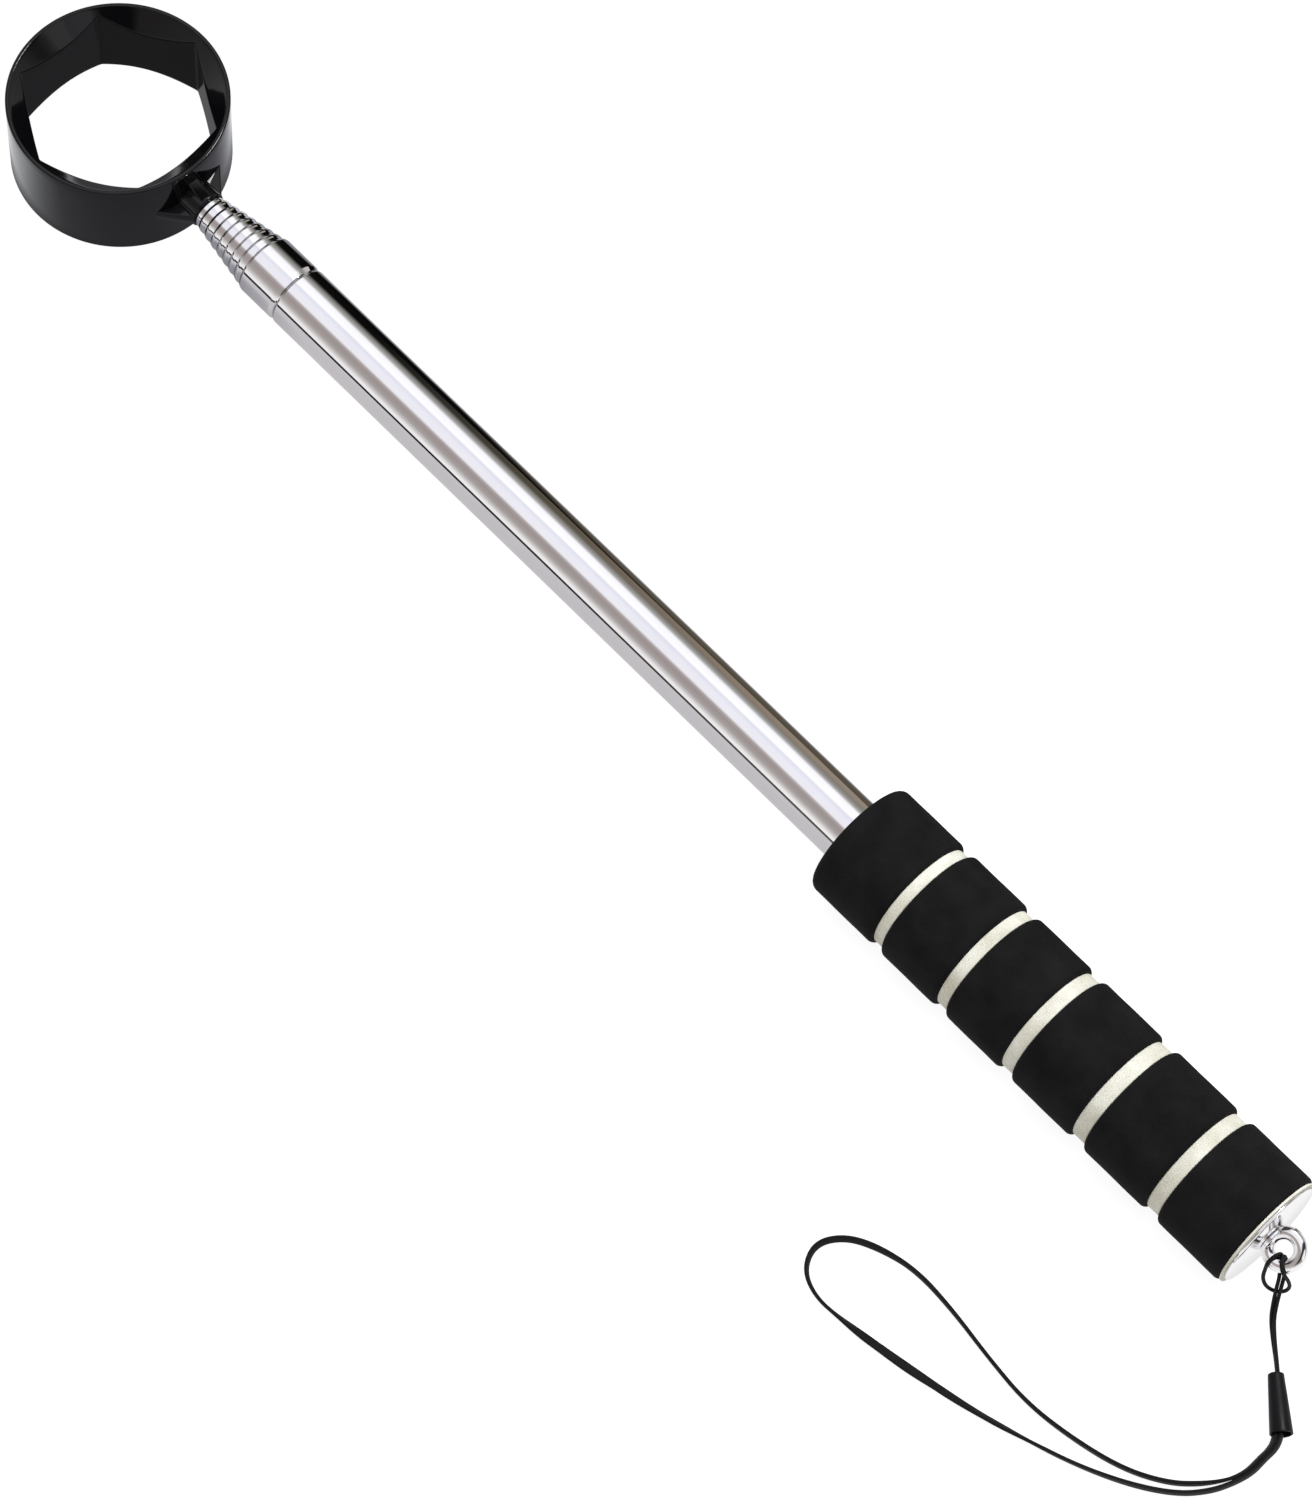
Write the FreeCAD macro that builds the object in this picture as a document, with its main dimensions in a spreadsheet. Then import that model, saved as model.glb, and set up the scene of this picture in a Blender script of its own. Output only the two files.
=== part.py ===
"""Telescoping golf ball retriever, collapsed, lying level on a flat surface.

A moulded ring with six inner flats nips the ball. It is screwed to the thinnest of eight
steel tubes, which slide into each other and into the handle tube. The handle carries a grip
of black and cream foam rings, and at its butt a dished cap, a screw eye and a wrist strap.

Millimetres. The tubes lie along X with the ring at +X, and the ring's own axis is Z.
The origin is under the middle of the object, on the surface that the grip lies on.
"""
import FreeCAD, Part
import math
import os
import re

import Sketcher
from FreeCAD import Rotation, Vector

# Driving dimensions: alias, value, what it is.
DIMENSIONS = [
    ("grip_radius", 15.1, "outside of the foam grip"),
    ("grip_edge_round", 1.1, "rounding of a foam ring's outer edges"),
    ("spacer_radius", 14.6, "outside of the cream foam between the black rings"),
    ("black_ring_1", 19.6, "length of each black foam ring, front to butt"),
    ("black_ring_2", 17.3, ""),
    ("black_ring_3", 17.2, ""),
    ("black_ring_4", 18.5, ""),
    ("black_ring_5", 19.1, ""),
    ("black_ring_6", 19.0, ""),
    ("spacer_1", 2.9, "length of each cream foam ring, front to butt"),
    ("spacer_2", 3.2, ""),
    ("spacer_3", 3.6, ""),
    ("spacer_4", 4.0, ""),
    ("spacer_5", 3.7, ""),
    ("spacer_6", 0.6, "thin cream disc that closes the grip, under the butt cap"),
    ("tube_radius", 8.0, "outside of the handle tube"),
    ("tube_wall", 0.3, "wall of the handle tube"),
    ("tube_exposed", 188.4, "handle tube in front of the grip"),
    ("tube_edge_round", 0.2, "rounding of the handle tube's front edge"),
    ("collar_length", 11.8, "nose collar in front of the handle tube"),
    ("collar_spigot", 8.0, "nose collar inside the handle tube"),
    ("collar_groove", 0.25, "gap between the tube's edge and the collar's bevel"),
    ("collar_bevel", 1.3, "length of the collar's rear bevel"),
    ("collar_round", 0.7, "rounding of the collar's front edge"),
    ("section_radius", 7.35, "outside of the widest sliding section"),
    ("section_step", 0.435, "each section is this much smaller in radius"),
    ("section_wall", 0.25, "wall of a sliding section"),
    ("section_pitch", 2.54, "how far each section stands out of the one around it"),
    ("tip_exposed", 1.75, "thinnest section between its neighbour and the head"),
    ("section_round", 0.25, "rounding of a section's front edge"),
    ("lip_length", 1.2, "rolled lip at a section's front end"),
    ("lip_gap", 0.05, "radial play of a section in a lip or in a bush"),
    ("bush_length", 28.0, "split friction bush on a section's rear end"),
    ("bush_wrap", 348.0, "degrees that a bush goes round its section"),
    ("base_gap", 0.5, "from the butt plug to the sections' rear ends"),
    ("plug_length", 14.0, "butt plug inside the handle tube"),
    ("plug_hole_radius", 2.0, "threaded hole for the screw eye"),
    ("tip_plug_length", 10.0, "plug in the thinnest section's front end"),
    ("stud_radius", 2.0, "stud that joins the head to the tip plug"),
    ("stud_depth", 7.5, "stud inside the head"),
    ("cap_radius", 13.7, "butt cap"),
    ("cap_rim", 0.5, "thickness of the butt cap's rim"),
    ("cap_height", 1.2, "height of the butt cap's cone"),
    ("eye_offset", 5.3, "from the grip's end to the centre of the eye"),
    ("eye_ring_radius", 3.6, "middle of the eye's wire"),
    ("eye_wire_radius", 1.6, "wire of the eye"),
    ("eye_roll", 38.0, "degrees that the eye is turned about the tubes' axis"),
    ("flange_radius", 3.6, "shoulder of the screw eye"),
    ("flange_length", 1.0, ""),
    ("shank_length", 12.0, "shank of the screw eye"),
    ("head_radius", 26.6, "outside of the head ring"),
    ("head_height", 24.4, "depth of the head ring"),
    ("head_across_flats", 42.2, "six inner flats; a golf ball is 42.67"),
    ("head_corner_round", 0.8, "rounding between the inner flats"),
    ("lead_in_radius", 25.7, "mouth of the 45 degree lead-in, both faces"),
    ("lip_round", 0.3, "rounding of the ring's lips"),
    ("neck_length", 5.1, "boss from the ring's wall to the tube"),
    ("neck_radius", 4.8, "boss around the stud"),
    ("rib_thickness", 2.8, "four ribs that brace the neck"),
    ("side_rib_reach", 10.3, "half width of the side ribs at the wall"),
    ("upper_rib_reach", 7.0, "half height of the upright ribs at the wall"),
    ("crimp_narrow_radius", 1.6, "crimp cap of the wrist strap"),
    ("crimp_wide_radius", 2.35, ""),
    ("crimp_edge_round", 0.4, ""),
    ("crimp_length", 14.11, ""),
    ("hitch_cord_diameter", 0.9, "thin cord hitched through the eye"),
    ("lace_diameter", 1.2, "wrist lace, as a plain tube"),
]
SECTIONS = range(2, 10)          # sliding sections, widest to thinnest; section 1 is the handle
RINGS = range(1, 7)              # black foam rings, front to butt

# The strap lies on the surface beside the butt. Its crimp cap runs from the first of these
# points to the second; the cord and the lace are routes of corners, from end to end.
CRIMP_ENDS = [(-219.9, 17.3, 1.6), (-230.4, 26.7, 2.35)]
HITCH_ROUTE = [
    (-220.15, 16.98, 2.09), (-217.77, 14.85, 1.92), (-214.45, 11.95, 1.76), (-210.99, 8.7, 2.22),
    (-209.32, 6.55, 4.73), (-208.09, 4.84, 8.15), (-207, 3.12, 10.2),
    # once round the eye's wire, then the slack loop that the two ends pass through
    (-205.84, 1.65, 11.11), (-204.84, 0.5, 12), (-204.14, 0.46, 13.62), (-204.14, 1.55, 15.01),
    (-205, 3.04, 15.42), (-206.34, 3.98, 14.7), (-207.38, 3.79, 13.26),
    (-208.52, 3.24, 11), (-209.15, 3, 8.2), (-208.73, 3.71, 6.2), (-207.43, 4.57, 5),
    (-205.88, 5.34, 5.1), (-204.66, 6.07, 6.9), (-203.44, 6.04, 9.4),
    # round the wire again and back to the crimp cap
    (-202.9, 5.04, 12.28), (-202.7, 4.8, 14.05), (-202.74, 3.39, 15.15), (-203.04, 1.67, 14.92),
    (-203.3, 0.61, 13.5), (-203.78, 0.81, 11.76), (-204.71, 2.07, 10.78),
    (-206.17, 3.65, 10.2), (-207.22, 5.27, 8.05), (-208.42, 6.85, 4.47), (-210.3, 9, 1.58),
    (-214.2, 12.18, 0.84), (-217.81, 14.88, 0.94), (-220.19, 17.01, 1.11),
]
LACE_ROUTE = [
    (-229.49, 27.72, 2.35), (-230.68, 28.79, 2.43), (-231.46, 30.6, 2.12), (-231.08, 33.39, 1.05),
    (-230.77, 37.8, 0.99), (-229.21, 42.4, 1.01), (-226.15, 47.37, 1), (-220.88, 52.69, 1),
    (-211.94, 57.59, 1), (-199.94, 60.66, 1), (-187.2, 62.31, 1), (-174.4, 61.08, 1),
    (-161.74, 59.22, 1), (-149.59, 58.49, 1), (-140.03, 60.84, 1), (-133.14, 64.51, 1),
    (-129.56, 70.54, 1), (-132.34, 76.75, 1), (-138.75, 79.31, 1), (-146.47, 78.65, 1),
    (-156.16, 77.08, 1), (-168.06, 74.85, 1), (-180.59, 72.16, 1), (-192.86, 68.42, 1),
    (-204.99, 64.22, 1), (-216.04, 58.72, 1), (-224.31, 52.72, 1), (-228.81, 46.77, 0.99),
    (-231.15, 41.41, 1.01), (-232.38, 36.72, 0.96), (-232.31, 32.32, 1.21), (-232.42, 29.58, 2.16),
    (-231.56, 27.8, 2.43), (-230.37, 26.74, 2.35),
]

ALIASES = {alias for alias, _, _ in DIMENSIONS}

doc = FreeCAD.newDocument("ball_retriever")
dims = doc.addObject("Spreadsheet::Sheet", "dims")
for row, (alias, value, note) in enumerate(DIMENSIONS, start=1):
    dims.set(f"A{row}", str(value))
    dims.setAlias(f"A{row}", alias)
    dims.set(f"B{row}", note)
doc.recompute()


def sheet(formula):
    """The formula with every alias in it turned into a reference to the sheet."""
    return re.sub(r"[a-z]\w+", lambda word: f"dims.{word[0]}" if word[0] in ALIASES else word[0], formula)


def size(formula):
    """The formula's value in millimetres or degrees."""
    return float(dims.evalExpression(sheet(formula)))


def bind(thing, attribute, formula):
    thing.setExpression(attribute, sheet(formula))


# Places along X, as formulas of the sheet's cells.
GRIP_LENGTH = " + ".join([f"black_ring_{i} + spacer_{i}" for i in RINGS])
REAR_REACH = f"( {GRIP_LENGTH} + eye_offset + eye_ring_radius + eye_wire_radius )"
HEAD_REACH = "( tube_exposed + collar_length + 7 * section_pitch + tip_exposed + neck_length )"
GRIP_FRONT = f"( {REAR_REACH} - {HEAD_REACH} - 2 * head_radius ) / 2"
GRIP_END = f"{GRIP_FRONT} - ( {GRIP_LENGTH} )"
TUBE_FRONT = f"{GRIP_FRONT} + tube_exposed"
SECTION_BASE = f"{GRIP_END} + plug_length + base_gap"
HEAD_CENTRE = f"{GRIP_FRONT} + {HEAD_REACH} + head_radius"
HEAD_FACE = f"{GRIP_FRONT} + {HEAD_REACH} - neck_length"
EYE_CENTRE = f"{GRIP_END} - eye_offset"


def section_front(number):
    """Front end of a sliding section."""
    if number == SECTIONS[-1]:
        return HEAD_FACE
    return f"{TUBE_FRONT} + collar_length + {number - 1} * section_pitch"


def section_radius(number):
    return f"( section_radius - {number - 2} * section_step )"


def origin_feature(body, role):
    return next(item for item in body.Origin.OriginFeatures if item.Role == role)


def new_body(label):
    body = doc.addObject("PartDesign::Body", label)
    body.Label = label
    return body


def place(body, x_formula, rotation=None):
    """Put a body's origin on the tubes' axis at x."""
    if rotation is not None:
        body.Placement = FreeCAD.Placement(Vector(0, 0, 0), rotation)
    bind(body, "Placement.Base.x", x_formula)
    bind(body, "Placement.Base.z", "grip_radius")


def outline_sketch(body, name, plane, corners):
    """A closed outline of straight lines whose corners are bound to the sheet."""
    sketch = body.newObject("Sketcher::SketchObject", name)
    sketch.AttachmentSupport = [(origin_feature(body, plane), "")]
    sketch.MapMode = "FlatFace"
    points = [Vector(size(across), size(up), 0) for across, up in corners]
    count = len(points)
    for i in range(count):
        sketch.addGeometry(Part.LineSegment(points[i], points[(i + 1) % count]))
    for i in range(count):
        sketch.addConstraint(Sketcher.Constraint("Coincident", i, 2, (i + 1) % count, 1))
    for i, (across, up) in enumerate(corners):
        for kind, formula, value in (("DistanceX", across, points[i].x), ("DistanceY", up, points[i].y)):
            index = sketch.addConstraint(Sketcher.Constraint(kind, -1, 1, i, 1, value))
            bind(sketch, f"Constraints[{index}]", formula)
    return sketch


def circle_sketch(body, name, plane, radius_formula):
    sketch = body.newObject("Sketcher::SketchObject", name)
    sketch.AttachmentSupport = [(origin_feature(body, plane), "")]
    sketch.MapMode = "FlatFace"
    sketch.addGeometry(Part.Circle(Vector(0, 0, 0), Vector(0, 0, 1), size(radius_formula)))
    sketch.addConstraint(Sketcher.Constraint("Coincident", 0, 3, -1, 1))
    index = sketch.addConstraint(Sketcher.Constraint("Radius", 0, size(radius_formula)))
    bind(sketch, f"Constraints[{index}]", radius_formula)
    return sketch


def circle_edges(shape, x_formula, radius_formula):
    """Names of the circular edges around local X at x with this radius."""
    names = []
    for number, edge in enumerate(shape.Edges, start=1):
        curve = edge.Curve
        if not isinstance(curve, Part.Circle):
            continue
        same_place = abs(curve.Center.x - size(x_formula)) < 1e-4
        if same_place and abs(curve.Radius - size(radius_formula)) < 1e-4:
            names.append(f"Edge{number}")
    return names


def rounded(body, name, edges, radius_formula):
    """Round these edges of the body as it stands."""
    base = body.Tip
    fillet = body.newObject("PartDesign::Fillet", name)
    fillet.Base = (base, edges)
    bind(fillet, "Radius", radius_formula)
    doc.recompute()


def turned(label, x_formula, profile, rounds=(), wrap="360"):
    """A turned piece: (x, radius) corners revolved about local X, with rounded edges."""
    body = new_body(label)
    sketch = outline_sketch(body, f"{label}_profile", "XZ_Plane", profile)
    turn = body.newObject("PartDesign::Revolution", f"{label}_turn")
    turn.Profile = sketch
    turn.ReferenceAxis = (origin_feature(body, "X_Axis"), [""])
    bind(turn, "Angle", wrap)
    doc.recompute()
    for index, (x, radius, amount) in enumerate(rounds):
        rounded(body, f"{label}_round_{index}", circle_edges(body.Tip.Shape, x, radius), amount)
    place(body, x_formula)
    return body


def ring_profile(length, inner, outer):
    return [("0", inner), (length, inner), (length, outer), ("0", outer)]


def foam_grip():
    """Black and cream foam rings, glued on the handle tube from the front backwards."""
    front = GRIP_FRONT
    for number in RINGS:
        length = f"black_ring_{number}"
        rear = f"{front} - {length}"
        rounds = [(x, "grip_radius", "grip_edge_round") for x in ("0", length)]
        turned(f"grip_ring_{number}", rear, ring_profile(length, "tube_radius", "grip_radius"), rounds)
        length = f"spacer_{number}"
        front = f"{rear} - {length}"
        name = f"grip_spacer_{number}" if number < RINGS[-1] else "grip_end_disc"
        turned(name, front, ring_profile(length, "tube_radius", "spacer_radius"))


def handle():
    """Handle tube, the collar at its nose and the plug in its butt."""
    bore = "tube_radius - tube_wall"
    length = f"{GRIP_LENGTH} + tube_exposed"
    rounds = [(length, "tube_radius", "tube_edge_round")]
    turned("handle_tube", GRIP_END, ring_profile(length, bore, "tube_radius"), rounds)

    guide = "section_radius + lip_gap"
    outside = "tube_radius - lip_gap"
    end = "collar_spigot + collar_length"
    collar = [
        ("0", guide),
        (end, guide),
        (end, outside),
        ("collar_spigot + collar_groove + collar_bevel", outside),
        ("collar_spigot + collar_groove", bore),
        ("0", bore),
    ]
    rounds = [(end, outside, "collar_round * 0.7")]
    turned("nose_collar", f"{TUBE_FRONT} - collar_spigot", collar, rounds)
    turned("butt_plug", GRIP_END, ring_profile("plug_length", "plug_hole_radius", bore))


def sliding_sections():
    """Eight thin tubes with a rolled lip in front and a split friction bush behind."""
    for number in SECTIONS:
        radius = section_radius(number)
        bore = f"{radius} - section_wall"
        length = f"{section_front(number)} - ( {SECTION_BASE} )"
        rounds = [(length, radius, "section_round * 0.9")]
        if number == SECTIONS[-1]:
            profile = ring_profile(length, bore, radius)
            rounds = []
        else:
            lip = f"{radius} - section_step + lip_gap"
            profile = [
                ("0", bore),
                (f"{length} - lip_length", bore),
                (f"{length} - lip_length", lip),
                (length, lip),
                (length, radius),
                ("0", radius),
            ]
        turned(f"section_{number}", SECTION_BASE, profile, rounds)

        around = "tube_radius - tube_wall" if number == 2 else f"{section_radius(number - 1)} - section_wall"
        inside = radius if number != SECTIONS[-1] else f"{radius} + 0.4 * lip_gap"
        profile = ring_profile("bush_length", inside, f"{around} - lip_gap")
        turned(f"section_{number}_bush", SECTION_BASE, profile, wrap="bush_wrap")

    thinnest_bore = f"{section_radius(SECTIONS[-1])} - section_wall"
    profile = ring_profile("tip_plug_length", "stud_radius", thinnest_bore)
    turned("tip_plug", f"{HEAD_FACE} - tip_plug_length", profile)
    length = "tip_plug_length + stud_depth"
    profile = [("0", "0"), (length, "0"), (length, "stud_radius"), ("0", "stud_radius")]
    turned("head_stud", f"{HEAD_FACE} - tip_plug_length", profile)


def butt():
    """Dished cap and screw eye."""
    dish = [
        ("0", "plug_hole_radius"),
        ("0", "flange_radius + 0.4"),
        ("cap_height - cap_rim", "cap_radius"),
        ("cap_height", "cap_radius"),
        ("cap_height", "plug_hole_radius"),
    ]
    turned("butt_cap", f"{GRIP_END} - cap_height", dish)

    body = new_body("screw_eye")
    shoulder = "flange_length"
    shank_end = "flange_length + cap_height + shank_length"
    profile = [
        ("0", "0"),
        (shank_end, "0"),
        (shank_end, "plug_hole_radius"),
        (shoulder, "plug_hole_radius"),
        (shoulder, "flange_radius"),
        ("0", "flange_radius"),
    ]
    sketch = outline_sketch(body, "screw_eye_profile", "XZ_Plane", profile)
    shank = body.newObject("PartDesign::Revolution", "screw_eye_shank")
    shank.Profile = sketch
    shank.ReferenceAxis = (origin_feature(body, "X_Axis"), [""])
    eye = body.newObject("PartDesign::AdditiveTorus", "screw_eye_ring")
    eye.AttachmentSupport = [(origin_feature(body, "XY_Plane"), "")]
    eye.MapMode = "FlatFace"
    bind(eye, "Radius1", "eye_ring_radius")
    bind(eye, "Radius2", "eye_wire_radius")
    bind(eye, "AttachmentOffset.Base.x", "flange_length + cap_height - eye_offset")
    doc.recompute()
    # the wire ends at the shoulder's face, so the cap has room
    reach = "flange_radius + eye_ring_radius"
    trim = body.newObject("PartDesign::Groove", "screw_eye_trim")
    corners = [
        (shoulder, "plug_hole_radius"),
        (f"{shoulder} + 2 * eye_wire_radius", "plug_hole_radius"),
        (f"{shoulder} + 2 * eye_wire_radius", reach),
        (shoulder, reach),
    ]
    trim.Profile = outline_sketch(body, "screw_eye_trim_outline", "XZ_Plane", corners)
    trim.ReferenceAxis = (origin_feature(body, "X_Axis"), [""])
    doc.recompute()
    place(body, f"{GRIP_END} - cap_height - flange_length", Rotation(Vector(1, 0, 0), -size("eye_roll")))


def head():
    """Moulded ring with six inner flats, lead-ins on both faces and a ribbed neck."""
    body = new_body("head_ring")

    def midplane_pad(name, sketch, length_formula):
        pad = body.newObject("PartDesign::Pad", name)
        pad.Profile = sketch
        pad.SideType = "Symmetric"
        bind(pad, "Length", length_formula)
        doc.recompute()
        return pad

    outline = circle_sketch(body, "ring_outline", "XY_Plane", "head_radius")
    midplane_pad("ring_block", outline, "head_height")

    face = "-head_radius - neck_length"
    root = "-head_radius + 4"
    for name, plane, reach, wall in (
        ("side_ribs", "XY_Plane", "side_rib_reach", "-head_radius + 2.2"),
        ("upright_ribs", "XZ_Plane", "upper_rib_reach", "-head_radius + 0.2"),
    ):
        corners = [
            (face, "-neck_radius"),
            (wall, f"-{reach}"),
            (root, f"-{reach}"),
            (root, reach),
            (wall, reach),
            (face, "neck_radius"),
        ]
        midplane_pad(name, outline_sketch(body, f"{name}_outline", plane, corners), "rib_thickness")

    profile = [(face, "0"), (root, "0"), (root, "neck_radius"), (face, "neck_radius")]
    boss = body.newObject("PartDesign::Revolution", "neck_boss")
    boss.Profile = outline_sketch(body, "neck_outline", "XZ_Plane", profile)
    boss.ReferenceAxis = (origin_feature(body, "X_Axis"), [""])
    doc.recompute()

    corner_radius = "head_across_flats / 2 / cos(30 deg)"
    corners = []
    for corner in range(6):
        angle = f"{30 + 60 * corner} deg"
        corners.append((f"{corner_radius} * cos({angle})", f"{corner_radius} * sin({angle})"))
    hexagon = body.newObject("PartDesign::Pocket", "six_flats")
    hexagon.Profile = outline_sketch(body, "hexagon", "XY_Plane", corners)
    hexagon.Type = "ThroughAll"
    hexagon.SideType = "Symmetric"
    doc.recompute()

    upright = []
    for number, edge in enumerate(body.Tip.Shape.Edges, start=1):
        middle = edge.CenterOfMass
        reach = math.hypot(middle.x, middle.y)
        if abs(reach - size(corner_radius)) < 0.01 and abs(middle.z) < 0.01:
            upright.append(f"Edge{number}")
    rounded(body, "corner_rounds", upright, "head_corner_round")

    depth = "( lead_in_radius - head_across_flats / 2 + 0.3 )"
    for name, side in (("upper_lead_in", ""), ("lower_lead_in", "-")):
        corners = [
            ("0", f"{side}( head_height / 2 + 1 )"),
            ("lead_in_radius + 1", f"{side}( head_height / 2 + 1 )"),
            (f"lead_in_radius - {depth}", f"{side}( head_height / 2 - {depth} )"),
            ("0", f"{side}( head_height / 2 - {depth} )"),
        ]
        groove = body.newObject("PartDesign::Groove", name)
        groove.Profile = outline_sketch(body, f"{name}_outline", "XZ_Plane", corners)
        groove.ReferenceAxis = (origin_feature(body, "Z_Axis"), [""])
        doc.recompute()

    socket = body.newObject("PartDesign::Groove", "stud_socket")
    end = "-head_radius - neck_length + stud_depth"
    profile = [(f"{face} - 1", "0"), (end, "0"), (end, "stud_radius"), (f"{face} - 1", "stud_radius")]
    socket.Profile = outline_sketch(body, "stud_socket_outline", "XZ_Plane", profile)
    socket.ReferenceAxis = (origin_feature(body, "X_Axis"), [""])
    doc.recompute()

    rims = []
    for number, edge in enumerate(body.Tip.Shape.Edges, start=1):
        curve = edge.Curve
        if not isinstance(curve, Part.Circle) or abs(abs(curve.Center.z) - size("head_height / 2")) > 1e-4:
            continue
        if abs(curve.Radius - size("head_radius")) < 1e-4 or abs(curve.Radius - size("lead_in_radius")) < 1e-4:
            rims.append(f"Edge{number}")
    rounded(body, "lip_rounds", rims, "lip_round")
    place(body, HEAD_CENTRE)


def route_wire(corners):
    """Straight runs joined by tangent arcs, and the smallest arc radius."""
    points = [Vector(*corner) for corner in corners]
    edges = []
    radii = []
    start = points[0]
    for before, corner, after in zip(points, points[1:], points[2:]):
        back = before - corner
        ahead = after - corner
        half_turn = (math.pi - back.getAngle(ahead)) / 2
        cut = 0.45 * min(back.Length, ahead.Length)
        radii.append(cut / math.tan(half_turn))
        arc_start = corner + back.normalize() * cut
        arc_end = corner + ahead.normalize() * cut
        inward = (back + ahead).normalize()
        middle = corner + inward * (radii[-1] / math.cos(half_turn) - radii[-1])
        edges.append(Part.LineSegment(start, arc_start).toShape())
        edges.append(Part.Arc(arc_start, middle, arc_end).toShape())
        start = arc_end
    edges.append(Part.LineSegment(start, points[-1]).toShape())
    return Part.Wire(edges), min(radii)


def cord(label, corners, diameter_alias):
    """A plain round cord swept along its route."""
    diameter = size(diameter_alias)
    wire, smallest = route_wire(corners)
    first = Vector(*corners[1]) - Vector(*corners[0])
    section = Part.Wire([Part.Circle(Vector(*corners[0]), first, diameter / 2).toShape().Edges[0]])
    piece = doc.addObject("Part::Feature", label)
    piece.Shape = wire.makePipeShell([section], True, False)
    expected = wire.Length * math.pi * diameter ** 2 / 4
    print(f"{label}: length {wire.Length:.1f}, smallest arc radius {smallest:.2f}, "
          f"volume {piece.Shape.Volume:.2f} against {expected:.2f}")


def strap():
    """Crimp cap, thin cord hitched through the eye, and the wrist lace."""
    narrow, wide = [Vector(*end) for end in CRIMP_ENDS]
    profile = [
        ("0", "0"),
        ("crimp_length", "0"),
        ("crimp_length", "crimp_wide_radius"),
        ("0", "crimp_narrow_radius"),
    ]
    rounds = [("0", "crimp_narrow_radius", "crimp_edge_round")]
    body = turned("strap_crimp", "0", profile, rounds)
    body.clearExpression("Placement.Base.x")
    body.clearExpression("Placement.Base.z")
    body.Placement = FreeCAD.Placement(narrow, Rotation(Vector(1, 0, 0), wide - narrow))
    cord("hitch_cord", HITCH_ROUTE, "hitch_cord_diameter")
    cord("wrist_lace", LACE_ROUTE, "lace_diameter")


foam_grip()
handle()
sliding_sections()
butt()
head()
strap()
doc.recompute()

os.makedirs("parts", exist_ok=True)
bodies = [item for item in doc.Objects if item.TypeId == "PartDesign::Body" or item.TypeId == "Part::Feature"]
for item in doc.Objects:
    if "Invalid" in item.State or "Error" in item.State:
        raise RuntimeError(f"{item.Label} did not compute: {item.State}")
for item in bodies:
    if item.Shape.isNull() or not item.Shape.isValid():
        raise RuntimeError(f"{item.Label} has no valid shape")
for item in bodies:
    box = item.Shape.BoundBox
    print(f"{item.Label:18s} solids {len(item.Shape.Solids)} volume {item.Shape.Volume:9.2f} "
          f"x {box.XMin:8.2f} {box.XMax:8.2f} z {box.ZMin:6.2f} {box.ZMax:6.2f}")
    item.Shape.exportStep(f"parts/{item.Label}.step")
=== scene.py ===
"""Golf ball retriever: chrome telescoping tubes, foam grip, moulded ball ring and wrist strap."""
import math

import bmesh
import bpy
from mathutils import Matrix, Vector

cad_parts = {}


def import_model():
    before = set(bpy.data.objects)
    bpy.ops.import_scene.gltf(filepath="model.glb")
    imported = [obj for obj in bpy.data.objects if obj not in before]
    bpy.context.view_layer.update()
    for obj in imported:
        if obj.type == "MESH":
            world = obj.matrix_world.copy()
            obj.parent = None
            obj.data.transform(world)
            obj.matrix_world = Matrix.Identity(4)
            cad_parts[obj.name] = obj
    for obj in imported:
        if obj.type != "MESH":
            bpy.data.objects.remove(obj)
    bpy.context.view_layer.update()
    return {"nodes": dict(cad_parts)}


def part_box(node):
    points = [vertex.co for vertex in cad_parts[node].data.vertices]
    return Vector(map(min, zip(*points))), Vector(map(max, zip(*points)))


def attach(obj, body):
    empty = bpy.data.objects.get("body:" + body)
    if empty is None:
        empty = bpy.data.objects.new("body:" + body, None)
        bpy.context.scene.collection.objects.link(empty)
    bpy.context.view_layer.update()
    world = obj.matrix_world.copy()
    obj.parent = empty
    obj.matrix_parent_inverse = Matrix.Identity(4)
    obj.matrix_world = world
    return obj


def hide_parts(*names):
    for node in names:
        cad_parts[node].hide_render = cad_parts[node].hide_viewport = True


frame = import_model()

# Turned pieces and the ring are worked out in millimetres about the tubes' axis, X.
MM = 0.001
AXIS_HEIGHT = 15.1                  # of the tubes' axis over the floor
AROUND = 144                        # facets round a turned piece
TUBE_WALL = 0.3
SECTION_WALL = 0.25
FOAM_BORE = 8.02                    # radius
FLOOR_GAP = 0.03                    # between the floor and the strap that lies on it

RING_X = 182.02
RING_HEIGHT = 24.4
RING_FLAT = 21.1                    # from the middle to a flat
RING_MOUTH = 25.7                   # radius where the lead-in reaches the lip
RING_OUTSIDE = 26.6                 # radius
NECK_LENGTH = 5.1                   # from the ring's wall to the tube


# ---------------------------------------------------------------- materials

def fill(ramp, stops):
    """Stops are (position, colour) along a colour ramp."""
    elements = ramp.color_ramp.elements
    while len(elements) < len(stops):
        elements.new(0.5)
    for element, (position, color) in zip(elements, stops):
        element.position = position
        element.color = (*color, 1.0)


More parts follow.
